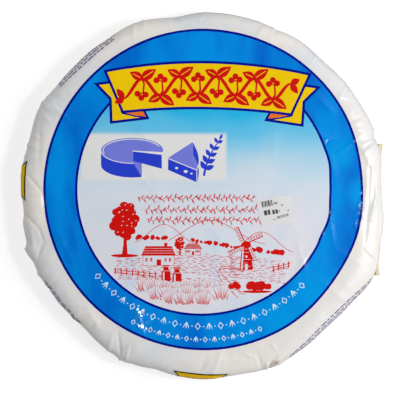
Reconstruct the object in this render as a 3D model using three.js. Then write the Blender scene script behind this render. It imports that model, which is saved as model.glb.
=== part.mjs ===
import * as THREE from "three";

// A whole soft-cheese wheel, shut in a glossy printed film and lying flat on its underside.
// Millimetres, +Z up. +Y points to the top of the print, +X to its right.

// Driving dimensions of the wheel.
const wheelRadius = 175; // mean outline seen from above, at the fullest part of the side
const wheelHeight = 36;
const bellyHeight = 17; // where the side is fullest
const shoulderReach = 20; // from the flat top's edge out to the belly
const footReach = 12; // from the belly back in to the resting foot
const roundness = 2.3; // exponent of the side's curve: 2 is an ellipse, more is squarer
const topLooseness = 0.7; // how far the film lies off the flat top, up or down
const pleatCount = 36; // folds gathered under the wheel
const pleatDepth = 1.1;
const pressedMiddle = 45; // radius of the underside's smooth middle

// The closing tape: a stiff paper angle, one leg under the foot and one up the side.
const tapeLength = 127;
const tapeDistance = 172.2; // its straight outer face, from the wheel's axis
const tapeTurn = -1.4; // degrees from +X to the way it faces
const tapeShift = -9.8; // its middle, along its face
const tapeUnderLeg = 20;
const tapeSideLeg = 10.5;
const tapeThickness = 0.5;

// The price sticker on the top film.
const stickerWidth = 33;
const stickerDepth = 26;
const stickerThickness = 0.4;
const stickerCentre = [69, -15];
const stickerTurn = 11; // degrees

const clearance = 0.35; // between pieces that touch

// Fineness of the meshes.
const turnSteps = 144;
const topRings = 8;
const shoulderSteps = 7;
const wallHeights = [14.2, 12.2, 9, 6, 3.2, 1.2];
const undersideRings = [0.93, 0.86, 0.74, 0.6, 0.45];
const stickerSteps = [6, 4];

// Where the packing pulled the film out from, or pressed it in to, the mean outline:
// each row is the direction in degrees, the half width in degrees and the distance.
const outlinePulls = [
  [2, 14, -4.3],
  [18, 3, -3.2],
  [33, 12, -1.3],
  [48, 14, -2.9],
  [66, 8, -1.3],
  [98, 9, -2.2],
  [113, 11, 2.5],
  [127, 7, 0.7],
  [152, 11, 3.2],
  [172, 6, 0.9],
  [184, 6, -2.2],
  [198, 4, 2.8],
  [212, 7, -1.8],
  [225, 16, -4.3],
  [244, 4, 1.8],
  [255, 7, -2.2],
  [270, 8, 1.2],
  [292, 11, 2.6],
  [313, 12, -1.9],
  [335, 13, 5.6],
];

// Thumb-sized dents in the shoulder: direction in degrees, radius, half width and depth.
const shoulderDents = [
  [196, 163, 20, 2.2],
  [242, 164, 16, 1.8],
  [318, 166, 18, 1],
];

const radians = Math.PI / 180;

function swell(distance, halfWidth) {
  const share = Math.min(Math.abs(distance) / halfWidth, 1);
  return 0.5 * (1 + Math.cos(Math.PI * share));
}

function turnBetween(from, to) {
  return ((to - from + 540) % 360) - 180;
}

function outlinePull(turn) {
  const pulls = outlinePulls.map(
    ([at, halfWidth, distance]) => distance * swell(turnBetween(at, turn), halfWidth),
  );
  return pulls.reduce((sum, pull) => sum + pull, 0);
}

// Height of the film's slow waves over the flat top.
function topWave(x, y) {
  const across = Math.sin(x / 31 + 0.6) * Math.cos(y / 37 - 0.4);
  const along = Math.sin((x + y) / 52 + 1.9);
  return topLooseness * (0.55 * across + 0.45 * along);
}

function dentDepth(x, y) {
  const depths = shoulderDents.map(([turn, radius, halfWidth, depth]) => {
    const dx = x - radius * Math.cos(turn * radians);
    const dy = y - radius * Math.sin(turn * radians);
    return depth * swell(Math.hypot(dx, dy), halfWidth);
  });
  return depths.reduce((sum, depth) => sum + depth, 0);
}

// Rows of the wheel's surface from the middle of the top, over the side, to the underside.
// follow says how much of the outline's pulls a row takes, and waves how much of the top's.
function topRows() {
  const flatRadius = wheelRadius - shoulderReach;
  return Array.from({ length: topRings }, (_, i) => {
    const share = (i + 1) / topRings;
    return {
      radius: flatRadius * share,
      height: wheelHeight,
      follow: 0,
      waves: 1,
    };
  });
}

function shoulderRows() {
  const rise = wheelHeight - bellyHeight;
  return Array.from({ length: shoulderSteps }, (_, i) => {
    const angle = ((i + 1) / shoulderSteps) * (Math.PI / 2);
    const out = Math.sin(angle) ** (2 / roundness);
    const up = Math.max(Math.cos(angle), 0) ** (2 / roundness);
    return {
      radius: wheelRadius - shoulderReach * (1 - out),
      height: bellyHeight + rise * up,
      follow: Math.sin(angle),
      waves: up,
    };
  });
}

function wallRows() {
  return [...wallHeights, 0].map((height) => {
    const drop = 1 - height / bellyHeight;
    const inset = 1 - (1 - drop ** roundness) ** (1 / roundness);
    return {
      radius: wheelRadius - footReach * inset,
      height,
      follow: 1 - 0.4 * drop,
      waves: 0,
    };
  });
}

function undersideRows() {
  const footRadius = wheelRadius - footReach;
  const rings = [...undersideRings.map((share) => share * footRadius), pressedMiddle];
  return rings.map((radius) => ({
    radius,
    height: 0,
    follow: 0.6 * (radius / footRadius) ** 3,
    waves: 0,
  }));
}

// A place seen from the tape: along its face, and how far out past the wheel's axis.
function fromTape(x, y) {
  const c = Math.cos(tapeTurn * radians);
  const s = Math.sin(tapeTurn * radians);
  return { along: -x * s + y * c - tapeShift, out: x * c + y * s };
}

// Behind the tape's side leg the film is pressed to the tape's flat inner face.
function pressedByTape(radius, turn, height) {
  const wall = tapeDistance - tapeThickness - clearance;
  const facing = Math.cos((turn - tapeTurn) * radians);
  const x = radius * Math.cos(turn * radians);
  const y = radius * Math.sin(turn * radians);
  const place = fromTape(x, y);
  const beside = Math.abs(place.along) < tapeLength / 2 + 4;
  const low = height < tapeSideLeg + 2;
  return beside && low && place.out > wall ? wall / facing : radius;
}

// Under the foot the film rises over the tape's other leg.
function liftOverTape(x, y) {
  const place = fromTape(x, y);
  const beside = Math.abs(place.along) < tapeLength / 2 + 6;
  const over = place.out > tapeDistance - tapeUnderLeg - 6;
  return beside && over ? tapeThickness + 2 * clearance : 0;
}

function wheelPoint(row, step) {
  const turn = (step / turnSteps) * 360;
  const pulled = row.radius + row.follow * outlinePull(turn);
  const radius = pressedByTape(pulled, turn, row.height);
  const x = radius * Math.cos(turn * radians);
  const y = radius * Math.sin(turn * radians);
  let z = row.height + row.waves * topWave(x, y);
  if (row.height > bellyHeight) z -= dentDepth(x, y);
  if (row.height === 0) {
    const stepsInPleat = turnSteps / pleatCount;
    const groove = step % stepsInPleat === 0 && row.radius > pressedMiddle;
    z = Math.max(groove ? pleatDepth : 0, liftOverTape(x, y));
  }
  return [x, y, z];
}

// A closed mesh of rings of points, with a point in the middle of its top and underside.
function closedRings(rings, topMiddle, undersideMiddle) {
  const steps = rings[0].length;
  const positions = [topMiddle, ...rings.flat(), undersideMiddle].flat();
  const faces = [];
  const at = (ring, step) => 1 + ring * steps + (step % steps);
  const last = 1 + rings.length * steps;
  for (let step = 0; step < steps; step++) {
    faces.push(0, at(0, step), at(0, step + 1));
    faces.push(last, at(rings.length - 1, step + 1), at(rings.length - 1, step));
    for (let ring = 0; ring + 1 < rings.length; ring++) {
      faces.push(at(ring, step), at(ring + 1, step), at(ring + 1, step + 1));
      faces.push(at(ring, step), at(ring + 1, step + 1), at(ring, step + 1));
    }
  }
  const geometry = new THREE.BufferGeometry();
  geometry.setAttribute("position", new THREE.Float32BufferAttribute(positions, 3));
  geometry.setIndex(faces);
  geometry.computeVertexNormals();
  return geometry;
}

// The cheese and its film are one solid: the pack is shut and nothing inside shows.
function wrappedWheel() {
  const rows = [...topRows(), ...shoulderRows(), ...wallRows(), ...undersideRows()];
  const steps = Array.from({ length: turnSteps }, (_, step) => step);
  const rings = rows.map((row) => steps.map((step) => wheelPoint(row, step)));
  const topMiddle = [0, 0, wheelHeight + topWave(0, 0)];
  const film = new THREE.MeshStandardMaterial({ color: 0xe9e7e6, roughness: 0.25 });
  const wheel = new THREE.Mesh(closedRings(rings, topMiddle, [0, 0, 0]), film);
  wheel.name = "wrapped_wheel";
  return wheel;
}

// The sticker follows the film's waves, just clear of it.
function priceSticker() {
  const plate = new THREE.BoxGeometry(
    stickerWidth,
    stickerDepth,
    stickerThickness,
    ...stickerSteps,
    1,
  );
  plate.rotateZ(stickerTurn * radians);
  plate.translate(...stickerCentre, wheelHeight + clearance + stickerThickness / 2);
  const corners = plate.getAttribute("position");
  for (let i = 0; i < corners.count; i++) {
    corners.setZ(i, corners.getZ(i) + topWave(corners.getX(i), corners.getY(i)));
  }
  plate.computeVertexNormals();
  const paper = new THREE.MeshStandardMaterial({ color: 0xf2f1f0, roughness: 0.6 });
  const sticker = new THREE.Mesh(plate, paper);
  sticker.name = "price_sticker";
  return sticker;
}

// The tape's section is an L: the upright leg shows beside the foot, past the round film.
function closingTape() {
  const section = new THREE.Shape();
  section.moveTo(-tapeUnderLeg, 0);
  section.lineTo(0, 0);
  section.lineTo(0, tapeSideLeg);
  section.lineTo(-tapeThickness, tapeSideLeg);
  section.lineTo(-tapeThickness, tapeThickness);
  section.lineTo(-tapeUnderLeg, tapeThickness);
  section.closePath();
  const angle = new THREE.ExtrudeGeometry(section, {
    depth: tapeLength,
    steps: 1,
    bevelEnabled: false,
  });
  angle.rotateX(Math.PI / 2);
  angle.translate(tapeDistance, tapeLength / 2 + tapeShift, 0);
  angle.rotateZ(tapeTurn * radians);
  const paper = new THREE.MeshStandardMaterial({ color: 0xe4d6ae, roughness: 0.7 });
  const tape = new THREE.Mesh(angle, paper);
  tape.name = "closing_tape";
  return tape;
}

// The origin is on the resting face, below the middle of the whole outline.
function centredPack() {
  const pack = new THREE.Group();
  pack.add(wrappedWheel(), priceSticker(), closingTape());
  const middle = new THREE.Box3().setFromObject(pack).getCenter(new THREE.Vector3());
  pack.children.forEach((piece) => piece.position.set(-middle.x, -middle.y, 0));
  return pack;
}

export default centredPack();
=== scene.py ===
import math

import bpy
import numpy as np
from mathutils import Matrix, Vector
from mathutils.geometry import delaunay_2d_cdt


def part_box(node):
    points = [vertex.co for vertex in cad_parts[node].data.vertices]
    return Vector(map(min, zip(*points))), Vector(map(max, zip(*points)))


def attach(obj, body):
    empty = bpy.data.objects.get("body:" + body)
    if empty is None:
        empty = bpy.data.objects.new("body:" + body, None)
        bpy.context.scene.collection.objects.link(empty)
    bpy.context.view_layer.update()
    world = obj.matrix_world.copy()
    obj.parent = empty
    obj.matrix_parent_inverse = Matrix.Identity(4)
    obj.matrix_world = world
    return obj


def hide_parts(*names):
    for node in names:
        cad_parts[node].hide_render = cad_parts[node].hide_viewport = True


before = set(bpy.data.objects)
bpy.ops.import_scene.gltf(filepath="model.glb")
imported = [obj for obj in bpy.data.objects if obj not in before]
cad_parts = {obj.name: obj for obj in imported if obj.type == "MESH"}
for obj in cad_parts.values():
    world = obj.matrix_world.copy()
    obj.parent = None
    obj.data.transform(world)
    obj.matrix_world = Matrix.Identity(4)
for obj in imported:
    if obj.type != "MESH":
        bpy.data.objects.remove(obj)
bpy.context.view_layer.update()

# The film round the cheese.
# A white plastic laminate, glossy outside, drawn over the flat round cheese, smooth on top,
# gathered in pleats below; where it was handled it is pulled out, pressed in and creased.
MM = 0.001
FILM_RADIUS = 175.0  # mm, mean outline from above
FILM_HEIGHT = 36.0
BELLY_HEIGHT = 17.0
SHOULDER_REACH = 20.0
FOOT_REACH = 12.0
ROUNDNESS = 2.3
TOP_LOOSENESS = 0.7
FOOT_FOLLOW = 0.6  # how much of the outline's pulls the foot takes
PLEATS = 36
PLEAT_DEPTH = 1.0
PLEAT_GROOVE = 6  # a groove's half width goes so many times into its pleat
PLEAT_START, PLEAT_FULL = 38.0, 63.0  # mm from the axis
PLEAT_TOP = 12.0  # height where the pleats end
SECTION_STEPS, SHOULDER_STEPS = 60, 80  # points of the section

# Where the film is pulled out or pressed in: direction and half width in degrees, distance in mm.
OUTLINE_PULLS = (
    (2, 14, -4.3), (18, 3, -3.2), (33, 12, -1.3), (48, 14, -2.9), (66, 8, -1.3), (98, 9, -2.2),
    (113, 11, 2.5), (127, 7, 0.7), (152, 11, 3.2), (172, 6, 0.9), (184, 6, -2.2), (198, 4, 2.8),
    (212, 7, -1.8), (225, 16, -4.3), (244, 4, 1.8), (255, 7, -2.2), (270, 8, 1.2),
    (292, 11, 2.6), (313, 12, -1.9), (335, 13, 5.6),
)

# Thumb-sized dents in the shoulder: direction, radius, half width, depth.
SHOULDER_DENTS = ((196, 163, 20, 2.2), (242, 164, 16, 1.8), (318, 166, 18, 1))

# The straight tape at the right of the foot presses the film flat behind it.
TAPE_LENGTH = 127.0
TAPE_DISTANCE = 172.2
TAPE_TURN = -1.4
TAPE_SHIFT = -9.8
TAPE_UNDER_LEG = 20.0
TAPE_SIDE_LEG = 10.5
TAPE_THICKNESS = 0.5
TAPE_BOW = 2.6  # how far its middle is drawn in under the film's overhang
CLEARANCE = 0.35
PRESS_PAST_ENDS = 4.0
PRESS_ABOVE, PRESS_FADE = 4.5, 3.5  # mm over the tape's edge where the press ends, and its fade
LIFT_BEHIND, LIFT_PAST_ENDS, LIFT_FADE = 8.0, 10.0, 4.0  # where the film rises over the lower leg


def swell(distance, half_width):
    share = np.minimum(np.abs(distance) / half_width, 1.0)
    return 0.5 + 0.5 * np.cos(np.pi * share)


def pulled(reach, turn, pulls):
    """A reach in a direction after pulls, each with its direction, half width and distance."""
    for at, half_width, distance in pulls:
        reach = reach + distance * swell((turn - at + 540) % 360 - 180, half_width)
    return reach


def toward(turn):
    """A step of length 1 in a direction in degrees."""
    return np.array((math.cos(math.radians(turn)), math.sin(math.radians(turn))))


def section_of_film():
    """Way along the film from the top's middle, with radius, height, follow and waves there."""
    top, under = np.linspace(0, 1, SECTION_STEPS), np.linspace(1, 0, SECTION_STEPS)[1:]
    lean = np.linspace(0, np.pi / 2, SHOULDER_STEPS)[1:]
    out, up = np.sin(lean) ** (2 / ROUNDNESS), np.clip(np.cos(lean), 0, 1) ** (2 / ROUNDNESS)
    drop = np.sin(np.linspace(0, np.pi / 2, SECTION_STEPS))[1:]
    inset = 1 - (1 - np.minimum(drop, 1) ** ROUNDNESS) ** (1 / ROUNDNESS)
    upper, kept = FILM_HEIGHT - BELLY_HEIGHT, 1 - (1 - FOOT_FOLLOW) * drop
    stretches = (
        ((FILM_RADIUS - SHOULDER_REACH) * top, FILM_HEIGHT + 0 * top, 0 * top, 1 + 0 * top),
        (FILM_RADIUS - SHOULDER_REACH * (1 - out), BELLY_HEIGHT + upper * up, np.sin(lean), up),
        (FILM_RADIUS - FOOT_REACH * inset, BELLY_HEIGHT * (1 - drop), kept, 0 * drop),
        ((FILM_RADIUS - FOOT_REACH) * under, 0 * under, FOOT_FOLLOW * under**3, 0 * under),
    )
    radius, height, follow, waves = np.concatenate(stretches, axis=1)
    way = np.concatenate([[0], np.cumsum(np.hypot(np.diff(radius), np.diff(height)))])
    return way, radius, height, follow, waves


WAY, RADIUS, HEIGHT, FOLLOW, WAVES = section_of_film()
WAY_TO_FOOT = WAY[-SECTION_STEPS]


def top_wave(x, y):
    across = np.sin(x / 31 + 0.6) * np.cos(y / 37 - 0.4)
    along = np.sin((x + y) / 52 + 1.9)
    return TOP_LOOSENESS * (0.55 * across + 0.45 * along)


def dent_depth(x, y):
    depth = np.zeros_like(x)
    for turn, radius, half_width, deep in SHOULDER_DENTS:
        at_x, at_y = radius * toward(turn)
        depth += deep * swell(np.hypot(x - at_x, y - at_y), half_width)
    return depth


def seen_from_tape(x, y):
    """A place along the tape's face, and its distance out from the wheel's axis."""
    c, s = toward(TAPE_TURN)
    return -x * s + y * c - TAPE_SHIFT, x * c + y * s


def tape_face(along):
    """Distance of the tape's outer face from the wheel's axis."""
    return TAPE_DISTANCE - TAPE_BOW * (1 - np.minimum(2 * np.abs(along) / TAPE_LENGTH, 1) ** 2)


def joined(*values):
    """Places or faces from their first values, second values and so on."""
    return np.stack(values, axis=-1)


def smooth_film(x_flat, y_flat):
    """The film's form without its creases. A place on it is given on the film laid out flat."""
    way = np.hypot(x_flat, y_flat)
    turn = np.degrees(np.arctan2(y_flat, x_flat))
    radius = np.interp(way, WAY, RADIUS) + np.interp(way, WAY, FOLLOW) * pulled(0, turn, OUTLINE_PULLS)
    height = np.interp(way, WAY, HEIGHT)
    x, y = radius * np.cos(np.radians(turn)), radius * np.sin(np.radians(turn))
    along, out = seen_from_tape(x, y)
    wall = tape_face(along) - TAPE_THICKNESS - CLEARANCE
    beside = np.abs(along) < TAPE_LENGTH / 2 + PRESS_PAST_ENDS
    low = np.clip((TAPE_SIDE_LEG + PRESS_ABOVE - height) / PRESS_FADE, 0, 1)
    press = np.where(beside & (out > wall), low * (out - wall), 0) / np.maximum(out, 1)
    x, y = x * (1 - press), y * (1 - press)
    z = height + np.interp(way, WAY, WAVES) * top_wave(x, y)
    z -= np.where(height > BELLY_HEIGHT, dent_depth(x, y), 0)
    fold = (turn / 360 * PLEATS) % 1.0
    gather = np.clip((radius - PLEAT_START) / (PLEAT_FULL - PLEAT_START), 0, 1)
    gather *= np.clip((PLEAT_TOP - height) / PLEAT_TOP, 0, 1)
    groove = PLEAT_DEPTH * np.clip(1 - np.minimum(fold, 1 - fold) * PLEAT_GROOVE, 0, 1) * gather
    lift = np.clip((out - TAPE_DISTANCE + TAPE_UNDER_LEG + LIFT_BEHIND) / LIFT_FADE, 0, 1)
    lift *= np.clip((TAPE_LENGTH / 2 + LIFT_PAST_ENDS - np.abs(along)) / LIFT_FADE, 0, 1)
    lift *= TAPE_THICKNESS + 2 * CLEARANCE
    z = np.where(way > WAY_TO_FOOT, np.maximum(z + groove, lift), z)
    return joined(x, y, z)


# Creases seen from above: start, end, half width and height in mm; a furrow's height is negative.
CREASES = (
    ((118, -12), (124, -50), 6, 0.4), ((111, -30), (133, -24), 4, 0.4), ((121, -48), (150, -66), 7, 0.3),
    ((150, 44), (163, 20), 4, 0.9), ((157, 30), (152, -30), 5, 0.8), ((152, 5), (146, -42), 5, 0.7),
    ((153, 40), (166, 52), 3.5, 1.5), ((158, 36), (156, -4), 3, -0.9), ((156, -4), (153, -48), 4, -0.65),
    ((164, 14), (163, -8), 2.5, 1.3), ((163, -2), (159, -22), 3, 1.1),
    ((168, -14), (167, -56), 2.5, -1.1), ((147, -10), (152, -24), 2, 1.0),
    ((150, -4), (144, -18), 1.8, 0.9), ((140, 50), (151, 46), 2, 0.7), ((154, -50), (166, -64), 3, 0.9),
    ((128, 40), (150, 58), 5, 0.5), ((126, 8), (120, 44), 8, 0.3), ((-64, -104), (-56, -132), 3, 1.1),
    ((-58, -108), (-66, -118), 2.5, 0.9), ((-50, -118), (-62, -126), 2.5, 0.9),
    ((-81, -128), (-78, -158), 3, -1.3), ((-70, -140), (-74, -158), 3, 1.3),
    ((-86, -134), (-92, -150), 4, 0.8), ((60, -158), (61, -166), 3.5, 1.4),
    ((62, -168), (65, -158), 1.8, -1.9), ((65, -159), (70, -153), 2.2, -1.2),
    ((68, -162), (76, -160), 3.5, 1.0), ((20, -140), (8, -172), 7, 0.7), ((-168, 20), (-152, 2), 3, -1.2),
    ((-152, 2), (-150, -14), 3.5, -1.3), ((-155, 72), (-156, 24), 5, -0.8),
    ((-168, -20), (-156, -32), 3, -1.3), ((-156, -32), (-152, -44), 3, -1.3),
    ((-152, -44), (-158, -62), 3, -1.2), ((-164, -28), (-160, -58), 5, 0.9),
    ((-139, -30), (-124, -66), 6, 0.6), ((-128, -16), (-118, -52), 7, 0.5),
    ((-122, 66), (-146, 88), 4, 0.7), ((-26, 168), (-8, 160), 5, 0.8), ((30, 160), (60, 150), 6, 0.5),
    ((95, 60), (128, 52), 7, 0.5), ((88, -40), (98, -78), 8, 0.4), ((100, -52), (84, -84), 7, 0.4),
    ((-96, -130), (-112, -104), 7, 0.6), ((-130, 30), (-118, -20), 9, 0.45),
    ((104, 96), (126, 76), 8, 0.5),
)
# Corners where the film's edge is pinched out: the place, half width and height.
PINCHES = (
    (-154.3, 88.5, 5, 0.9), (-167.7, 48.2, 4.5, 0.8), (-168.5, -51.2, 5.5, 1.3),
    (-157.2, -75.5, 4.5, 1.0), (-123.1, -116.4, 5, 1.0), (-79.5, -156.5, 2.5, 1.1), (165.0, 52.5, 4, 0.9),
    (-58.0, 167.0, 5, 0.7),
)
PINCH_REACH = 0.07  # to either side of the place, as a share of its distance from the axis
CREASE_STRENGTH = 1.35
CREASE_REACH = 0.75  # from its middle to where it has faded out, as a share of its length
CREASED_HEIGHTS = (12.0, 20.0)  # where creases begin to show and are full
LOOSE_CREASES = 170  # small ones over the shoulder, where flat film is drawn round a curve
LOOSE_START, LOOSE_LENGTH, LOOSE_TILT = (152, 167), (7, 24), 0.45
LOOSE_HALF, LOOSE_HEIGHT = (2.2, 6.5), (-0.5, 0.55)
SMOOTH_SHOULDER = (325, 26, -0.8)  # direction, half width, and the change of their height there
SOFT_RIPPLES = 30  # long shallow ones on the flat top
RIPPLES_WITHIN, RIPPLE_LENGTH, RIPPLE_HALF, RIPPLE_HEIGHT = 135, (25, 70), (6, 14), (0.2, 0.5)

chance = np.random.default_rng(7)
wrinkles = list(CREASES)
for x, y, half_width, height in PINCHES:
    inner, outer = 1 - PINCH_REACH, 1 + PINCH_REACH
    wrinkles.append(((inner * x, inner * y), (outer * x, outer * y), half_width, height))


def crease_line(near, turn, length, tilt):
    """Start and end of a line, from its start's distance and direction, its length and tilt."""
    start = np.array((near * math.cos(turn), near * math.sin(turn)))
    return start, start + (length * math.cos(tilt), length * math.sin(tilt))


for _ in range(LOOSE_CREASES):
    turn = chance.uniform(0, 2 * np.pi)
    tilt = turn + chance.normal(0, LOOSE_TILT)
    line = crease_line(chance.uniform(*LOOSE_START), turn, chance.uniform(*LOOSE_LENGTH), tilt)
    half_width, height = chance.uniform(*LOOSE_HALF), chance.uniform(*LOOSE_HEIGHT)
    wrinkles.append((*line, half_width, height * pulled(1, math.degrees(turn), [SMOOTH_SHOULDER])))
for _ in range(SOFT_RIPPLES):
    turn, tilt = chance.uniform(0, 2 * np.pi, 2)
    near = RIPPLES_WITHIN * math.sqrt(chance.uniform(0, 1))
    line = crease_line(near, turn, chance.uniform(*RIPPLE_LENGTH), tilt)
    wrinkles.append((*line, chance.uniform(*RIPPLE_HALF), chance.uniform(*RIPPLE_HEIGHT)))

# Small kinks that catch the light: place, half width, slope, and the way it faces in degrees.
GLINTS = (
    (149, -15, 2.2, 0.21, 1), (145, -27, 2.6, 0.22, 3), (150, 3, 1.8, 0.21, -3), (148, 41, 1.8, 0.22, -10),
    (117, 51, 2, 0.24, -11), (120, -15, 1.8, 0.235, 1), (114, -34, 2.2, 0.24, 4), (84, -62, 1.8, 0.26, 8),
)
STREAK_EAST, STREAK_NORTH, STREAK_HALF = 0.4, 0.9, 0.6  # each kink is a row of three flat spots
# Two spots in the ring, low at the left, are crushed flat to one side: the spot, and the place
# from it and half width of each flattened patch.
CRUSHED = (
    (
        (-60, -111),
        ((-2.2, 2.8, 2.0), (-0.4, 0.2, 2.4), (1.2, -3.2, 2.2), (3.4, -0.6, 1.4), (-0.8, 6.2, 1.3)),
    ),
    (
        (-57.5, -124.5),
        ((-3.4, 1.0, 2.0), (0, 0, 2.6), (3.6, -2.0, 2.1), (0.6, 4.6, 1.4), (7.0, -3.4, 1.2)),
    ),
)
CRUSHED_REACH = 9.0
CRUSHED_SLOPE = 0.364
CRUSHED_FACING = 13
FLAT_EDGE = 2.5  # how sharply a flattened patch ends
NORMAL_STEP = 0.3  # mm over which the film's lean is taken


def pressed_flat(rise, x, y, spot, flats, slope, facing):
    """Presses flat patches round a spot to one slope, which falls towards the way they face."""
    dx, dy = x - spot[0], y - spot[1]
    patch = np.zeros_like(x)
    for off_x, off_y, half_width in flats:
        away = np.hypot(dx - off_x, dy - off_y) / half_width
        patch = np.maximum(patch, np.clip((1 - away) * FLAT_EDGE, 0, 1))
    east, north = toward(facing)
    return rise * (1 - patch) - patch * slope * (dx * east + dy * north)


def crease_height(x, y):
    rise = np.zeros_like(x)
    for start, end, half_width, height in wrinkles:
        run = np.array(end) - start
        length = np.hypot(*run)
        dx, dy = x - start[0], y - start[1]
        fade = swell((dx * run[0] + dy * run[1]) / length**2 - 0.5, CREASE_REACH)
        off = np.abs(dx * run[1] - dy * run[0]) / length
        rise += CREASE_STRENGTH * height * fade * (1 - np.minimum(off / half_width, 1)) ** 2
    for at_x, at_y, half_width, slope, facing in GLINTS:
        steps = (-half_width, 0, half_width)
        streak = [(STREAK_EAST * step, STREAK_NORTH * step, STREAK_HALF * half_width) for step in steps]
        rise = pressed_flat(rise, x, y, (at_x, at_y), streak, slope, facing)
    for spot, flats in CRUSHED:
        rise = pressed_flat(rise, x, y, spot, flats, CRUSHED_SLOPE, CRUSHED_FACING)
    return rise


def out_of_film(x_flat, y_flat, form):
    """A step of length 1 straight out of the film, where form gives the film's places."""
    east = form(x_flat + NORMAL_STEP, y_flat) - form(x_flat - NORMAL_STEP, y_flat)
    north = form(x_flat, y_flat + NORMAL_STEP) - form(x_flat, y_flat - NORMAL_STEP)
    out = np.cross(east, north)
    return out / np.maximum(np.linalg.norm(out, axis=-1, keepdims=True), 1e-9)


def film(x_flat, y_flat):
    """Places on the creased film, in mm from the wheel's axis and the resting face."""
    place = smooth_film(x_flat, y_flat)
    begin, full = CREASED_HEIGHTS
    shown = np.clip((place[..., 2] - begin) / (full - begin), 0, 1)
    rise = crease_height(place[..., 0], place[..., 1]) * shown
    return place + out_of_film(x_flat, y_flat, smooth_film) * rise[..., None]


# The wheel's axis stands where the frame has it.
low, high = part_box("wrapped_wheel")
belly = np.radians(np.arange(720) / 2)
belly_way = WAY[np.argmax(RADIUS)]
rim = smooth_film(belly_way * np.cos(belly), belly_way * np.sin(belly))
AXIS = np.array([(low.x + high.x) / 2, (low.y + high.y) / 2, 0])
AXIS[:2] -= (rim[:, :2].min(0) + rim[:, :2].max(0)) / 2 * MM


def placed(name, data, place=(0, 0, 0)):
    item = bpy.data.objects.new(name, data)
    item.location = place
    bpy.context.scene.collection.objects.link(item)
    return item


def made_piece(name, places, faces, finish, slot):
    """A mesh from places in mm from the wheel's axis, riding on the one body."""
    mesh = bpy.data.meshes.new(name)
    mesh.from_pydata((places * MM + AXIS).tolist(), [], faces)
    mesh.validate()
    mesh.shade_smooth()
    mesh.materials.append(finish)
    piece = placed(name, mesh)
    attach(piece, "root")
    return piece


COAT_ROUGHNESS = 0.09
RIPPLE_SCALE, RIPPLE_DETAIL, RIPPLE_TWIST, RIPPLE_STRENGTH = 32, 4, 0.6, 0.5  # of the film's gloss


def node_in(finish, kind, inputs, **settings):
    """A node of a finish. Each input is a value, or the output of a node that feeds it."""
    tree = finish.node_tree
    node = tree.nodes.new("ShaderNode" + kind)
    for setting, value in settings.items():
        setattr(node, setting, value)
    for socket, value in inputs.items():
        if isinstance(value, bpy.types.NodeSocket):
            tree.links.new(value, node.inputs[socket])
        else:
            node.inputs[socket].default_value = value
    return node


def surface_of(finish):
    return finish.node_tree.nodes["Principled BSDF"].inputs


def lead(finish, output, socket):
    """Feeds the surface itself from a node's output."""
    finish.node_tree.links.new(output, surface_of(finish)[socket])


def place_on(finish):
    return finish.node_tree.nodes["Texture Coordinate"].outputs["Object"]


def cloud(finish, scale, detail=2, twist=0, place=None):
    """A number that drifts about 0.5 from place to place."""
    place = place_on(finish) if place is None else place
    inputs = {"Vector": place, "Scale": scale, "Detail": detail, "Distortion": twist}
    return node_in(finish, "TexNoise", inputs).outputs["Fac"]


def shades(finish, value, stops):
    """A colour that changes with a value, given at a few stops."""
    node = node_in(finish, "ValToRGB", {"Fac": value})
    row = node.color_ramp.elements
    for number, (at, colour) in enumerate(stops):
        stop = row.new(min(at, 0.999)) if number else row[0]  # before the row's own last stop
        stop.position = at
        stop.color = (*colour, 1)
    row.remove(row[-1])
    return node.outputs["Color"]


def glossy_film(name, gloss=(0.16, 0.28), grain=60, relief=0.0009, coat=0.12, ior=1.48):
    """Film that has no colour yet: its gloss drifts, and fine ripples break it."""
    finish = bpy.data.materials.new(name)
    finish.use_nodes = True
    for socket, value in (("IOR", ior), ("Coat Weight", coat), ("Coat Roughness", COAT_ROUGHNESS)):
        surface_of(finish)[socket].default_value = value
    finish.node_tree.nodes.new("ShaderNodeTexCoord")
    shine = {"Value": cloud(finish, grain), "To Min": gloss[0], "To Max": gloss[1]}
    lead(finish, node_in(finish, "MapRange", shine).outputs["Result"], "Roughness")
    ripple = cloud(finish, RIPPLE_SCALE, RIPPLE_DETAIL, RIPPLE_TWIST)
    bump = {"Distance": relief, "Strength": RIPPLE_STRENGTH, "Height": ripple}
    lead(finish, node_in(finish, "Bump", bump).outputs["Normal"], "Normal")
    return finish


def film_ink(name, colour, drift=0.05, other=None, cloud_scale=22, streak=1.0, **surface):
    """Film in one ink, whose strength drifts by a share, or from its colour to another one."""
    ink = glossy_film(name, **surface)
    drawn = {"Vector": place_on(ink), "Scale": (streak, 1 / streak, 1)}
    patches = cloud(ink, cloud_scale, 3, place=node_in(ink, "Mapping", drawn).outputs["Vector"])
    weak, strong = [c * (1 - drift) for c in colour], [min(c * (1 + drift), 1) for c in colour]
    stops = ((0.36, colour), (0.64, other)) if other else ((0.3, weak), (0.7, strong))
    lead(ink, shades(ink, patches, stops), "Base Color")
    return ink


def fade_in(finish, value, low, high):
    """A number that goes softly from 0 to 1 as the value passes from low to high."""
    span = {"Value": value, "From Min": low, "From Max": high}
    return node_in(finish, "MapRange", span, interpolation_type="SMOOTHSTEP").outputs["Result"]


def calculated(finish, operation, *values):
    return node_in(finish, "Math", dict(enumerate(values)), operation=operation).outputs["Value"]


def both(finish, first, second):
    return calculated(finish, "MULTIPLY", first, second)


def near_to(finish, place, reach):
    """A number that goes softly from 0 to 1 within reach of a place given in mm."""
    ends = {0: place_on(finish), 1: AXIS + np.array(place) * MM}
    away = node_in(finish, "VectorMath", ends, operation="DISTANCE").outputs["Value"]
    return fade_in(finish, away, reach * MM, 0.2 * reach * MM)


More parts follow.
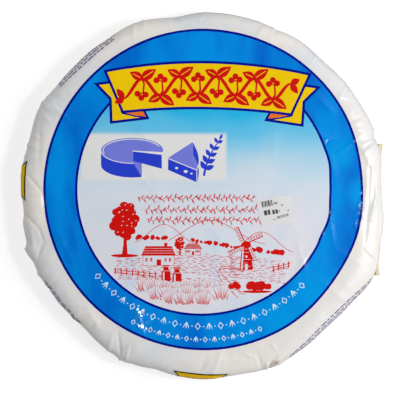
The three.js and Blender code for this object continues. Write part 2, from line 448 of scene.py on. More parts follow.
def painted_over(finish, mask, colour):
    """Lays a second colour over a finish's own where the mask is 1."""
    under = surface_of(finish)["Base Color"].links[0].from_socket
    blend = node_in(finish, "Mix", {0: mask, 6: under, 7: (*colour, 1)}, data_type="RGBA")
    lead(finish, blend.outputs[2], "Base Color")


# The blue ring.
# The laminate is printed flat, one ink after another, before it is drawn over the cheese.
# The first inks are a dark blue line, a broad blue ring and a second dark blue line inside it.
PRINT_MIDDLE = np.array((0.5, 5.3))
RING_OUTSIDE = 152.1
RING_INSIDE = 122.1
RING_LINE = 2.3
RING_DEEP = (0.0, 0.135, 0.60)
RING_BRIGHT = (0.0, 0.265, 0.76)
RING_PAINTED_SHEEN = (0.0, 0.30, 0.765)
PAINTED_SHEEN_PATCHES = ((150, 2, 22), (128, 38, 20), (104, -92, 34), (72, -116, 30))  # place and reach
LINE_BLUE = (0.0, 0.004, 0.25)
OUTSIDE_PULLS = ((5, 25, -1.5), (325, 25, -1.7), (98, 20, 0.5))
INSIDE_PULLS = ((290, 78, -3.0), (0, 22, -1.0), (348, 8, 1.3), (12, 9, 1.0), (338, 5, -0.6))
RING_IOR = 1.36

inks = {
    "dark_blue": film_ink("dark_blue_ink", LINE_BLUE),
    # The ring ink drifts in long streaks between a deep and a bright blue; the streaks are partly a painted
    # sheen.
    "ring_blue": film_ink(
        "ring_blue_ink", RING_DEEP, other=RING_BRIGHT, cloud_scale=17, streak=1.6, coat=0.2, ior=RING_IOR
    ),
}
# Soft patches of lighter blue at the right and lower right of the ring are a painted sheen.
for x, y, reach in PAINTED_SHEEN_PATCHES:
    painted_over(inks["ring_blue"], near_to(inks["ring_blue"], (x, y, FILM_HEIGHT), reach), RING_PAINTED_SHEEN)
plates = []  # ink and outline of each printed shape, the last one on top


def print_shape(ink, *outlines, middle=PRINT_MIDDLE):
    plates.extend((ink, np.asarray(outline, float) + middle) for outline in outlines)


def circle(radius, middle=(0, 0), steps=None, pulls=()):
    steps = steps or max(10, int(radius * 3.2))
    turn = np.arange(steps) / steps * 360
    reach = pulled(np.full(steps, float(radius)), turn, pulls)
    turn = np.radians(turn)
    return joined(middle[0] + reach * np.cos(turn), middle[1] + reach * np.sin(turn))


print_shape("dark_blue", circle(RING_OUTSIDE, pulls=OUTSIDE_PULLS))
print_shape("ring_blue", circle(RING_OUTSIDE - RING_LINE, pulls=OUTSIDE_PULLS))
print_shape("dark_blue", circle(RING_INSIDE, pulls=INSIDE_PULLS))

# The sky.
# Inside the ring the ink fades from clear blue under the ribbon to nearly white lower down, with
# a pale, soft-edged panel at the left.
SKY_STEPS = (  # height on the print and colour
    (82, (0.02, 0.44, 0.77)), (70, (0.085, 0.50, 0.79)), (58, (0.125, 0.52, 0.79)),
    (42, (0.26, 0.59, 0.80)), (26, (0.44, 0.65, 0.80)), (10, (0.58, 0.70, 0.80)),
    (-12, (0.66, 0.71, 0.79)), (-110, (0.70, 0.70, 0.76)),
)
SKY_CLOUDS = 11  # scale of the clouds that push the steps up and down
CLOUD_PUSH = 0.05  # m, from the thinnest cloud to the thickest
PANEL = ((-116, 9), (21, 53))  # low and high corner
PANEL_SOFT = 2.5
PANEL_WHITE = (0.74, 0.74, 0.74)
TINT_AND_SHEEN_PATCHES = ((17, (0.82, 0.73, 0.77)), (23, (0.42, 0.64, 0.84)))  # scale and tint of faint patches; the pale pinkish ones are a painted sheen
MOTTLE_FADE = (0.48, 0.98)
MOTTLES_END = 0.75  # how high they reach, as a share of the sky
MOTTLES_FULL = 0.4  # and the share of that where they are full


def within(finish, value, begin, full, wane, end):
    """A number that goes softly from 0 to 1 between begin and full, and back from wane to end."""
    return both(finish, fade_in(finish, value, begin, full), fade_in(finish, value, end, wane))


def sky_ink():
    ink = glossy_film("sky_ink")
    parts = node_in(ink, "SeparateXYZ", {"Vector": place_on(ink)}).outputs
    low, high = SKY_STEPS[-1][0], SKY_STEPS[0][0]
    shift = PRINT_MIDDLE[1] * MM + AXIS[1] + CLOUD_PUSH / 2
    clouded = calculated(ink, "MULTIPLY_ADD", cloud(ink, SKY_CLOUDS), CLOUD_PUSH, parts["Y"])
    span = {"Value": clouded, "From Min": low * MM + shift, "From Max": high * MM + shift}
    height = node_in(ink, "MapRange", span).outputs["Result"]
    stops = [((at - low) / (high - low), colour) for at, colour in reversed(SKY_STEPS)]
    lead(ink, shades(ink, height, stops), "Base Color")

    soft = PANEL_SOFT * MM
    panel = []
    for axis, part in enumerate("XY"):
        low, high = ((corner[axis] + PRINT_MIDDLE[axis]) * MM + AXIS[axis] for corner in PANEL)
        panel.append(within(ink, parts[part], low - soft, low + soft, high - soft, high + soft))
    painted_over(ink, both(ink, *panel), PANEL_WHITE)

    pale = fade_in(ink, height, MOTTLES_END, MOTTLES_FULL * MOTTLES_END)
    # Faint patches in the lower sky: blue tints, and pale pinkish ones that are a painted sheen.
    for scale, tint in TINT_AND_SHEEN_PATCHES:
        patch = fade_in(ink, cloud(ink, scale, 3, 0.8), *MOTTLE_FADE)
        painted_over(ink, both(ink, patch, pale), tint)
    return ink


inks["sky"] = sky_ink()
print_shape("sky", circle(RING_INSIDE - RING_LINE, pulls=INSIDE_PULLS))

# The red farm.
# A fine line drawing in red fills the lower half: round hills with trees, two houses, a windmill,
# fences, two milk churns, and a path and long grass in front.
FARM_RED = (0.60, 0.006, 0.004)
FINE_LINE = 0.55
CROWN_TUFTS = 26  # in the crown of a broad tree
TUFT_TURN = 2.4  # radians from one of them to the next

inks["red"] = film_ink("red_ink", FARM_RED)
art_chance = np.random.default_rng(21)
vary = art_chance.uniform


def along_normal(points):
    points = np.asarray(points, float)
    run = np.gradient(points, axis=0)
    run /= np.maximum(np.hypot(run[:, 0], run[:, 1]), 1e-9)[:, None]
    return joined(-run[:, 1], run[:, 0])


def stroke(points, width):
    """The outline of a line drawn with the given width, or with one width for each point."""
    points = np.asarray(points, float)
    half = np.broadcast_to(np.asarray(width, float) / 2, len(points))[:, None]
    side = along_normal(points) * half
    return np.concatenate([points - side, (points + side)[::-1]])


def moved(outline, to, turn=0.0, size=1.0):
    c, s = toward(turn)
    return np.asarray(outline, float) @ np.array([[c, s], [-s, c]]) * size + np.asarray(to, float)


def leaf(length, width):
    share = np.linspace(0, 1, 9)
    half = width / 2 * np.sin(np.pi * share**0.85)
    upper = joined(share * length, half)
    lower = joined(share[-2:0:-1] * length, -half[-2:0:-1])
    return np.concatenate([upper, lower])


def block(left, bottom, right, top):
    return np.array([(left, bottom), (right, bottom), (right, top), (left, top)], float)


def oval(middle, half, start=0, end=360, steps=48):
    turn = np.radians(np.linspace(start, end, steps, endpoint=(end - start) < 360))
    return joined(middle[0] + half[0] * np.cos(turn), middle[1] + half[1] * np.sin(turn))


def draw(*shapes):
    print_shape("red", *shapes)


def clear(*shapes):
    print_shape("sky", *shapes)


def hill(left, right, middle, crest, base):
    across = np.linspace(left, right, 40)
    half = max(middle - left, right - middle)
    line = joined(across, base + (crest - base) * swell(across - middle, half))
    draw(stroke(line, FINE_LINE))


def spot_in(middle, off, turn, tall):
    """A place in an oval, tall times as high as it is wide."""
    return np.array(middle) + off * np.array((math.cos(turn), tall * math.sin(turn)))


def bush(place, size):
    for _ in range(7):
        turn, off = vary(0, 2 * np.pi), vary(0, 0.6) * size
        draw(circle(size * vary(0.35, 0.6), spot_in(place, off, turn, 0.6), 9))


def broad_tree(foot, height, crown, flecks=20):
    """A tree with a tall round crown of many tufts."""
    foot = np.array(foot, float)
    trunk = [foot, foot + (0.4, height * 0.2), foot + (0, height * 0.5)]
    draw(stroke(trunk, [crown * 0.4, crown * 0.24, crown * 0.14]))
    middle = foot + (0, height - 1.4 * crown)
    for step in range(CROWN_TUFTS):
        off = crown * 0.8 * math.sqrt((step + 0.5) / CROWN_TUFTS)
        draw(circle(crown * vary(0.24, 0.35), spot_in(middle, off, step * TUFT_TURN, 1.4), 12))
    for _ in range(flecks):
        turn, off = vary(0, 2 * np.pi), crown * math.sqrt(vary(0, 0.7))
        clear(moved(leaf(2.2, 0.6), spot_in(middle, off, turn, 1.4), vary(-20, 60)))


def farmhouse(left, ground, width, wall, roof):
    right, eaves = left + width, ground + wall
    ridge = eaves + roof
    draw(block(left, ground, right, eaves))
    clear(block(left + 0.45, ground + 0.3, right - 0.45, eaves))
    draw([(left - 1.5, eaves), (right + 1.5, eaves), (right - 2.5, ridge), (left + 2.5, ridge)])
    for row in range(1, 4):
        level = eaves + roof * row / 4
        clear(block(left - 1, level, right + 1, level + 0.28))
    draw(block(left + width * 0.68, ridge - 1, left + width * 0.78, ridge + 3.2))
    draw(block(left + width * 0.44, ground, left + width * 0.58, ground + wall * 0.62))
    sill, lintel = ground + wall * 0.4, ground + wall * 0.78
    for share in (0.12, 0.27, 0.72, 0.86):
        window = left + width * share
        draw(block(window - 1, sill, window + 1, lintel))
        clear(block(window - 0.14, sill, window + 0.14, lintel))


def windmill(foot, height, sail):
    x, y = foot
    top = y + height
    draw([(x - 6.4, y), (x + 6.4, y), (x + 4, top), (x - 4, top)])
    for step in range(1, 7):
        level, more = y + height * step / 7, 3 * (step % 2)
        clear(stroke([(x - 1.5 - more, level), (x + 1 + more, level + 0.2)], 0.3))
    clear([(x - 5.2, y + 0.4), (x - 3.4, y + 0.4), (x - 2.2, top - 1), (x - 3.2, top - 1)])
    clear(block(x - 1.3, y, x + 1.5, y + 5.6), circle(1.1, (x + 0.2, y + height * 0.55), 12))
    draw(oval((x, top), (4.8, 4.4), 0, 180, 14))
    hub = (x - 0.5, top + 1.6)
    cell = (sail - 4.6) / 5
    for turn in (24, 114, 204, 294):
        draw(moved(block(0, -0.35, sail, 0.35), hub, turn), moved(block(4, 0.35, sail, 3.9), hub, turn))
        for start in 4.5 + cell * np.arange(5):
            for low, high in ((0.75, 2.0), (2.4, 3.5)):
                clear(moved(block(start, low, start + cell - 0.5, high), hub, turn))
    draw(circle(1.5, hub, 14))


def milk_churn(foot, size):
    side = np.array([(3.6, 0), (3.9, 1), (3.9, 8.5), (2.2, 10.6), (2.2, 12.4), (3, 12.9), (3, 14.2)])
    draw(moved(np.concatenate([side, side[::-1] * (-1, 1)]), foot, 0, size))
    for corners in ((-2.6, 1.4, -1.3, 8), (-3.9, 9.0, 3.9, 9.35), (-3, 12.7, 3, 13.0)):
        clear(moved(block(*corners), foot, 0, size))


def fence(start, end, posts):
    start, end = np.array(start, float), np.array(end, float)
    for x, y in start + (end - start) * np.linspace(0, 1, posts)[:, None]:
        draw(block(x - 0.55, y, x + 0.55, y + 6.2))
    for level in (2.0, 4.4):
        rail = [start + (-1.5, level), (start + end) / 2 + (0, level - 0.3), end + (1.5, level)]
        draw(stroke(rail, 0.6))


def grass_blade(foot, height, lean, width=0.75):
    share = np.linspace(0, 1, 6)
    line = joined(foot[0] + lean * share**2, foot[1] + height * share)
    draw(stroke(line, width * (1 - 0.93 * share)))


def tuft(foot, height):
    """A tuft of grass before what grows behind it: blades spread and bent over like a fan."""
    clear(oval((foot[0], foot[1] + 0.4 * height), (0.72 * height, 0.52 * height), steps=20))
    for share in np.linspace(-1, 1, 10):
        start = (foot[0] + 0.4 * height * share, foot[1] + vary(-0.08, 0.12) * height)
        tall = height * (1 - 0.4 * share * share) * vary(0.85, 1.1)
        grass_blade(start, tall, share * height * vary(0.3, 0.5), 0.9)


def meadow(left, right, low, high, fall, gap):
    """Rows of broken strokes that shade a field, each row a little lower at its right."""
    for level in np.arange(low, high, 1.8):
        across = left + vary(0, gap)
        while across < right:
            length = vary(1.5, 7.5)
            start = np.array((across, level + vary(-0.5, 0.5) - fall * (across - left)))
            lean = art_chance.normal(-fall, 0.05) * length
            line = start + np.array([(0, 0), (length / 2, lean / 2 + 0.25), (length, lean)])
            draw(stroke(line, [0.2, 0.64, 0.2]))
            across += length + vary(0.6, gap)


def tree_row(left, right, level, fall, sizes):
    """Trees side by side along the skyline, each a few round tufts."""
    across = left
    while across < right:
        size = vary(*sizes)
        bush((across, level - fall * (across - left) + 0.5 * size), size)
        across += size * vary(0.9, 1.9)


hill(-66, -8, -38, -33, -50)
hill(-34, 58, 6, -29, -51)
hill(22, 84, 54, -40, -59)
tree_row(-62, -36, -47, 0.0, (2.2, 4.0))
tree_row(-10, 34, -49, 0.17, (1.5, 3.4))
tree_row(40, 74, -58, 0.12, (2.6, 5.0))
meadow(-84, -28, -85, -64, 0.0, 3.6)
meadow(-28, 30, -78, -57, 0.10, 3.6)
meadow(22, 76, -82, -61, 0.12, 3.6)
meadow(-62, 34, -94, -80, 0.05, 4.5)
broad_tree((-75, -62), 52, 14)
draw(oval((-75, -62.5), (13, 1.6), steps=24))
broad_tree((-23, -62), 18, 5, 8)
farmhouse(-58, -72, 30, 9.5, 9)
farmhouse(-18, -62, 15, 6, 5)
windmill((40, -76), 23, 18)
for across, size in ((25, 3.6), (30, 5.2), (46, 6.2), (53, 7.2), (60, 4.6)):
    bush((across, -94 + 0.55 * size), size)
draw(oval((50, -96.6), (14, 1.3), steps=24))
fence((-84, -80), (-46, -84), 8)
milk_churn((-36, -87), 1.1)
milk_churn((-25.5, -89), 1.1)
fence((66, -78), (80, -74), 4)
path = np.linspace(0, 1, 16)[:, None]
door, turning, gate = np.array(((38, -77), (-8, -64), (34, -100)))
bend = door * (1 - path) ** 2 + 2 * turning * path * (1 - path) + gate * path**2
for side in (-1, 1):
    draw(stroke(bend + side * (0.6 + 2.6 * path) * np.array((0.5, 0.8)), 0.6))
for level, left, right in ((-97, -58, 22), (-103, -46, 18), (-109, -32, 10)):
    for across in np.arange(left, right, 10.5):
        shift = vary(-2, 2, 2)
        tuft((across + shift[0], level + 0.6 * shift[1]), vary(11, 14))

# The red rules.
# Three light running sprigs in red lie above the farm, each a waved stem with small leaves set
# on it by turns.
SPRIG_LINES = ((-8.0, -63, 50), (-19.2, -56, 51), (-28.8, -54, 57))
SPRIG_STEP = 4.6
SPRIG_SWING = 1.0


def sprig(level, left, right):
    across = np.arange(left, right, 0.7)
    wave = level + SPRIG_SWING * np.sin(across * np.pi / SPRIG_STEP)
    draw(stroke(joined(across, wave), 0.6))
    for step, at in enumerate(np.arange(left + 1, right - 2, SPRIG_STEP / 2)):
        up, size = 1 if step % 2 else -1, vary(0.8, 1.15)
        foot = (at, level + SPRIG_SWING * math.sin(at * math.pi / SPRIG_STEP))
        draw(moved(leaf(4.6, 1.2), foot, up * vary(38, 78), size))


for line in SPRIG_LINES:
    sprig(*line)

# The blue cheese picture.
# On the pale panel stands a plain picture in blue of a round cheese with a wedge drawn out of it
# and a twig beside it.
CHEESE_BLUE = (0.022, 0.05, 0.60)
CHEESE_SOFT_BLUE = (0.17, 0.20, 0.69)
CHEESE_MIDDLE = (-68, 37)
CHEESE_HALF = (29.5, 12)
CHEESE_SIDE = 13.5

inks["cheese_blue"] = film_ink("cheese_blue_ink", CHEESE_BLUE)
inks["cheese_soft_blue"] = film_ink("cheese_soft_blue_ink", CHEESE_SOFT_BLUE)


def blue(*outlines):
    print_shape("cheese_blue", *outlines)


def soft_blue(*outlines):
    print_shape("cheese_soft_blue", *outlines)


def round_cheese():
    middle, half = np.array(CHEESE_MIDDLE, float), np.array(CHEESE_HALF)
    down = np.array((0, -CHEESE_SIDE))
    blue(np.concatenate([oval(middle, half, 180, 360, 30), oval(middle + down, half, 0, -180, 30)]))
    soft_blue(oval(middle, half))
    clear(stroke(oval(middle, half - (2, 1.2), 20, 200, 30), [0.2] + [0.8] * 28 + [0.2]))
    clear(stroke(oval(middle, half, 182, 358, 40), 0.8))
    near, far = (middle + half * toward(turn) for turn in (288, 342))
    clear([middle, near, near + 1.4 * down, far + 1.4 * down + (6, 0), far + (6, 2)])
    soft_blue([middle + (0, -0.8), near + (-0.2, 0), near + down + (-0.2, 0), middle + down + (0, 4)])
    blue([middle + (1, -0.8), middle + down + (1, 3.6), far + down, far + (0, -0.4)])


def wedge(tip, length, width, side):
    tip = np.array(tip, float)
    near, far = tip + (length, -width * 0.55), tip + (length * 0.86, width * 0.75)
    share = np.linspace(0, 1, 9)
    bulge = joined(3.2 * np.sin(np.pi * share), 0 * share)
    rind = near + (far - near) * share[:, None] + bulge
    soft_blue([tip, near, *rind[1:-1], far])
    blue([tip + (0, -0.9), near + (0, -0.9), near + (0, -side), tip + (0, -side * 0.94)])
    blue(np.concatenate([rind + (0.6, -0.9), rind[::-1] + (0.6, -side)]))
    clear(stroke([near + (0.3, -0.6), near + (0.3, -side - 0.4)], 0.8))
    for share, size in ((0.3, 1.5), (0.62, 2.0), (0.82, 1.2)):
        spot = tip + (length * share, -width * 0.5 * share - side * 0.55)
        clear(oval(spot, (size, size * 0.7), steps=14))


def twig(foot, size):
    rise = np.linspace(0, 8, 12)
    stem = foot + size * joined(0.5 * rise + 1.2 * rise * rise / 8, 3.9 * rise)
    blue(stroke(stem, np.linspace(2.2, 0.8, 12)))
    for step in range(1, 6):
        for side in (-1, 1):
            blue(moved(leaf(8.4, 4.4), stem[step * 2], 70 - side * 48, size * (1.1 - 0.09 * step)))
    blue(moved(leaf(7, 3), stem[-1], 66, size * 0.8))


round_cheese()
wedge((-34, 30), 27, 20, 12)
twig((0, 13), 1.1)

# The ribbon.
# Over the top of the ring lies a printed yellow ribbon, outlined in dark blue, its ends folded
# under and cut to points; on it runs a red vine with leaves and berries.
RIBBON_MIDDLE = (1.7, 0.0)  # beside the ring's middle
RIBBON_TURN = -0.9
RIBBON_TOP = (96.8, 110.6, 120.7)  # half width, height at its ends, height in the middle
RIBBON_FOOT = (79.8, 72.2, 77.2)
RIBBON_YELLOW = (0.86, 0.565, 0.002)
FOLD_ORANGE = (0.80, 0.17, 0.015)
RIBBON_LINE = 1.25  # half its width
VINE_SPAN = 78.5
VINE_PERIOD = 35.5
VINE_SWING = 8.6
VINE_WIDTH = 3.2
BERRY = 2.9  # radius

inks["yellow"] = film_ink("yellow_ink", RIBBON_YELLOW, 0.03)
inks["orange"] = film_ink("orange_ink", FOLD_ORANGE)


def bowed(across, half, ends, middle):
    """Height of a bowed edge."""
    return middle - (middle - ends) * (across / half) ** 2


def edge(half, ends, middle):
    across = np.linspace(-half, half, 40)
    return joined(across, bowed(across, half, ends, middle))


def grown(outline, by):
    """The outline moved outwards all round by the same distance."""
    outline = np.asarray(outline, float)
    area = np.sum(outline[:, 0] * np.roll(outline[:, 1], -1) - outline[:, 1] * np.roll(outline[:, 0], -1))
    after = np.roll(outline, -1, axis=0) - outline
    after /= np.hypot(after[:, 0], after[:, 1])[:, None]
    before = np.roll(after, 1, axis=0)
    out = np.sign(area) * joined(before[:, 1] + after[:, 1], -before[:, 0] - after[:, 0])
    square = np.maximum(0.5 * np.sum(out * out, axis=-1, keepdims=True), 0.35)
    return outline + out / square * by


def on_ribbon(ink, outline):
    print_shape(ink, moved(outline, RIBBON_MIDDLE, RIBBON_TURN))


def outlined(outline):
    on_ribbon("dark_blue", grown(outline, RIBBON_LINE))
    on_ribbon("yellow", grown(outline, -RIBBON_LINE))


def beside_middle(across, off):
    """A place over or under the line along the middle of the ribbon."""
    return np.array((across, (bowed(across, *RIBBON_TOP) + bowed(across, *RIBBON_FOOT)) / 2 + off))


def vine():
    across = np.linspace(-VINE_SPAN, VINE_SPAN, 150)
    swing = VINE_SWING * np.sin(2 * np.pi * across / VINE_PERIOD)
    stem = np.array([beside_middle(*place) for place in zip(across, swing)])
    on_ribbon("red", stroke(stem, VINE_WIDTH * np.clip((VINE_SPAN + 6 - np.abs(across)) / 12, 0.45, 1)))
    for end, turns in ((stem[0], (205, 128)), (stem[-1], (25, -52))):
        for turn, length in zip(turns, (10, 12)):
            on_ribbon("red", moved(leaf(length, 6.4), end, turn))
    for step in range(8):
        crest = (step - 3.5) * VINE_PERIOD / 2
        up = 1 if math.sin(2 * math.pi * crest / VINE_PERIOD) > 0 else -1
        heart, inner = beside_middle(crest, up * VINE_SWING), beside_middle(crest, -up * 3.4)
        leaves = (((-1, -0.5 * up), 34 * up, 17.5, 9.4), ((1, 0), 180 - 26 * up, 14, 8))
        for off, lean, length, width in leaves:
            on_ribbon("red", moved(leaf(length, width), heart + off, lean))
            vein = [heart + off + at * toward(lean) for at in (3, length - 3.5)]
            on_ribbon("yellow", stroke(vein, 0.7))
        stalk = [heart, heart + (2.2, -up * 4.5), inner + (1.5, -up), inner + (-1.6, -up * 2.6)]
        on_ribbon("red", stroke(stalk, [2, 1.8, 1.6, 1.4]))
        for berry_x, berry_y in ((-4.0, -2.2), (-0.2, -6.0), (3.8, -3.0)):
            on_ribbon("red", circle(BERRY, inner + (berry_x, up * berry_y), 16))


def tail(side):
    mirror = np.array((side, 1.0))
    band = [(90, 100.5), (105.2, 98.3), (91.6, 84.6), (90.4, 62.3), (56.2, 66.9), (60, 74.5), (80, 72)]
    outlined(band * mirror)
    on_ribbon("orange", [(80, 71.6), (61.5, 74.8), (57.5, 67.8)] * mirror)
    on_ribbon("dark_blue", stroke([(80.2, 71.2), (68, 68.6), (56.2, 67.2)] * mirror, 1.5))


for side in (-1, 1):
    tail(side)
outlined(np.concatenate([edge(*RIBBON_FOOT), edge(*RIBBON_TOP)[::-1]]))
vine()

# The white marks.
# Along the lower half of the ring run two rows of small white open lozenges, grains and dots.
MARK_ROWS = ((129.6, 218.0, 316.8, 7.2), (142.0, 241.0, 292.8, 5.8))  # radius, arc, height of a mark
MARK_WHITE = (0.62, 0.76, 0.86)
MARK_LINE = 0.78
MARK_WIDTH = 0.78  # of its height

inks["mark_white"] = film_ink("mark_white_ink", MARK_WHITE, 0.02)


def lozenge(height, width):
    return np.array([(height / 2, 0), (0, width / 2), (-height / 2, 0), (0, -width / 2)])


for radius, start, end, height in MARK_ROWS:
    width = height * MARK_WIDTH
    count = round(math.radians(end - start) * radius / width / 4) * 4 + 1
    for number in range(count):
        turn = start + (end - start) * (number + 0.5) / count
        at = toward(turn) * radius
        if number % 4 == 0:
            inner = lozenge(height - 3 * MARK_LINE, width - 2.4 * MARK_LINE)
            print_shape("mark_white", moved(lozenge(height, width), at, turn))
            print_shape("ring_blue", moved(inner, at, turn))
        elif number % 4 == 2:
            grain, foot = leaf(height, MARK_LINE * 1.35), toward(turn) * (radius - height / 2)
            print_shape("mark_white", *[moved(grain, foot, turn + lean) for lean in (-24, 0, 24)])
        else:
            print_shape("mark_white", circle(MARK_LINE * 0.8, at, 10))

# The prints on the side.
# Small yellow ribbons and blocks of fine dark rows are printed where the film turns down the side,
# so that from above only a sliver of each is seen.
SIDE_RIBBONS = (  # direction, distance, length, lean
    (175.4, 171.5, 36, 0), (269.2, 171.0, 50, -3.8), (88.0, 183.0, 50, 0),
)
SIDE_RIBBON_WIDTH = 15.0
RIBBON_NOTCH = 4.0  # cut into its ends
SIDE_ROWS = ((131, 168.3, 74), (217.3, 171.5, 54), (315.5, 168.5, 112), (47, 181, 90))
ROW_DARK = (0.08, 0.05, 0.23)
SIDE_LINE = (0.028, 0.022, 0.006)
# The side ribbons' yellow is darker than the top ribbon's: painted shade for the steep side.
SIDE_YELLOW_IN_PAINTED_SHADE = (0.76, 0.475, 0.012)
SIDE_IOR = 1.06
ROW_STEP, ROW_HEIGHT = 3.3, 1.15

for name, colour in (("row_dark", ROW_DARK), ("side_line", SIDE_LINE), ("shaded_side_yellow", SIDE_YELLOW_IN_PAINTED_SHADE)):
    inks[name] = film_ink(f"{name}_ink", colour, coat=0.0, ior=SIDE_IOR)


def on_side(ink, outline, turn, distance, lean=0):
    """Prints a shape with its foot to the axis, in a direction and at a distance from there."""
    print_shape(ink, moved(outline, toward(turn) * distance, turn - 90 + lean), middle=(0, 0))


for turn, distance, length, lean in SIDE_RIBBONS:
    half, width = length / 2, SIDE_RIBBON_WIDTH
    left = [(-half, 0), (-half + RIBBON_NOTCH, width / 2), (-half, width)]
    band = left + [(-x, y) for x, y in left[::-1]]
    on_side("side_line", grown(band, 1.0), turn, distance, lean)
    # the yellow is darkened with painted shade
    on_side("shaded_side_yellow", grown(band, -0.5), turn, distance, lean)
    for across in np.linspace(-half + 12, half - 12, 5):
        on_side("red", moved(leaf(6, 2.8), (across - 3, width / 2)), turn, distance, lean)
for turn, distance, length in SIDE_ROWS:
    for row in range(4):
        across, low = -length / 2 + vary(0, 2), row * ROW_STEP
        while across < length / 2 - 4:
            dash = vary(2.2, 7.5)
            on_side("row_dark", block(across, low, across + dash, low + ROW_HEIGHT), turn, distance)
            across += dash + vary(0.9, 2.2)

# The laminate.
# The printed film is one sheet, drawn tight over the top and gathered in pleats below. White film
# and inks are cut along the same lines, so that each ink follows the film's form and creases.
FILM_COOL = (0.68, 0.70, 0.725)  # where it lies loose
FILM_WARM = (0.79, 0.755, 0.715)  # where it clings to the rind
PAINTED_SIDE_SHADE = (0.20, 0.165, 0.13)  # painted shade along the fullest part of the film's side
SHADED_BAND_MATT = 0.55  # how much rougher the film is there
SHADED_BAND_HEIGHTS = (12.0, 15.5, 19.5, 26.0)  # heights where the painted shade begins, is full, wanes and ends
FOLD_SHADE_BROWN = (0.20, 0.125, 0.07)
TORN_FOLD = ((66.5, -159.5, 28), 8.0)  # a small fold at the lower right, darkened with painted shade: place and reach
INK_LIFT = 0.14  # mm over the white film
INK_DEPTH = 0.09
CUT_STEP = 2.0  # mm between the points of the flat film
CREASE_STEP = 1.42  # where it is creased
CRUSHED_STEP = 0.7  # and where it is crushed
ROW_SHARE = 0.87  # from one row of points to the next, as a share of the step
AROUND = 640  # points round the foot
EDGE_ROOM = 1.5  # mm between them and the other points
FINE_PAST_SHOULDER, FINE_PAST_BELLY = 2.0, 4.0  # mm that the creased zone reaches past each
SAME_PLACE = 1e-3  # mm within which two points are one
TESTED_AT_ONCE = 3000  # triangles
PLEAT_ROWS = 26
PLEATS_MEET = 4.0  # mm from the axis, where the last row is


def points_between_cuts():
    reach = WAY_TO_FOOT - EDGE_ROOM
    groups = []
    for zone, step in enumerate((CUT_STEP, CREASE_STEP, CRUSHED_STEP)):
        across, up = np.meshgrid(np.arange(-reach, reach, step), np.arange(-reach, reach, step * ROW_SHARE))
        across[1::2] += step / 2
        way = np.hypot(across, up)
        creased = way > FILM_RADIUS - SHOULDER_REACH - FINE_PAST_SHOULDER
        fineness = (creased & (way < belly_way + FINE_PAST_BELLY)).astype(int)
        for at_x, at_y, half_width, *_ in GLINTS:
            fineness[np.hypot(across - at_x, up - at_y) < half_width] = 1
        for (at_x, at_y), _ in CRUSHED:
            fineness[np.hypot(across - at_x, up - at_y) < CRUSHED_REACH] = 2
        chosen = (way < reach) & (fineness == zone)
        groups.append(joined(across[chosen], up[chosen]))
    return np.concatenate(groups)


def inside(places, outline):
    """Which places lie within an outline, which may cross itself."""
    here, there = outline, np.roll(outline, -1, axis=0)
    x, y = places[:, :1], places[:, 1:]
    side = (there[:, 0] - here[:, 0]) * (y - here[:, 1]) - (x - here[:, 0]) * (there[:, 1] - here[:, 1])
    upward = (here[:, 1] <= y) & (there[:, 1] > y) & (side > 0)
    downward = (here[:, 1] > y) & (there[:, 1] <= y) & (side < 0)
    return upward.sum(axis=1) != downward.sum(axis=1)


def cut_film():
    """The flat film's points, its triangles and the number of the plate on top of each, or -1."""
    turns = np.arange(AROUND) / AROUND * 2 * np.pi
    edge = WAY_TO_FOOT * joined(np.cos(turns), np.sin(turns))
    points = [edge, points_between_cuts()]
    count = sum(len(group) for group in points)
    lines = []
    for _, outline in plates:
        ring = np.arange(count, count + len(outline))
        lines += joined(ring, np.roll(ring, -1)).tolist()
        points.append(outline)
        count += len(outline)
    points = np.concatenate(points)
    cut = delaunay_2d_cdt([Vector(point) for point in points], lines, [], 0, SAME_PLACE, False)
    flat, triangles = np.array(cut[0]), np.array(cut[2])
    middles = flat[triangles].mean(axis=1)
    top = np.full(len(triangles), -1)
    for number, (_, outline) in enumerate(plates):
        near = (middles > outline.min(0)).all(axis=1) & (middles < outline.max(0)).all(axis=1)
        for group in np.array_split(np.flatnonzero(near), near.sum() // TESTED_AT_ONCE + 1):
            top[group[inside(middles[group], outline)]] = number
    return flat, triangles, top


flat, triangles, top_plate = cut_film()
on_film = film(*flat.T)
out_here = out_of_film(*flat.T, film)


def faced(*corners):
    """Faces from rows of their first, second, third and fourth corners."""
    return joined(*corners).reshape(-1, 4).tolist()


def white_film():
    """The whole film: the cut top and side, then the pleats drawn in under the wheel."""
    at_foot = np.flatnonzero(np.hypot(*flat.T) > WAY_TO_FOOT - 0.01)
    at_foot = at_foot[np.argsort(np.arctan2(*flat[at_foot].T[::-1]))]
    turns = np.arctan2(*flat[at_foot].T[::-1])
    ways = np.linspace(WAY_TO_FOOT, WAY[-1] - PLEATS_MEET, PLEAT_ROWS + 1)[1:]
    way_grid, turn_grid = np.meshgrid(ways, turns, indexing="ij")
    pleats = film(way_grid * np.cos(turn_grid), way_grid * np.sin(turn_grid)).reshape(-1, 3)
    rows = np.concatenate([[at_foot], len(flat) + np.arange(len(pleats)).reshape(PLEAT_ROWS, -1)])
    after = np.roll(rows, -1, axis=1)
    middle = len(flat) + len(pleats)
    closing = [(middle, b, a) for a, b in zip(rows[-1].tolist(), after[-1].tolist())]
    places = np.concatenate([on_film, pleats, [[0, 0, 0]]])
    return places, triangles.tolist() + faced(rows[:-1], rows[1:], after[1:], after[:-1]) + closing


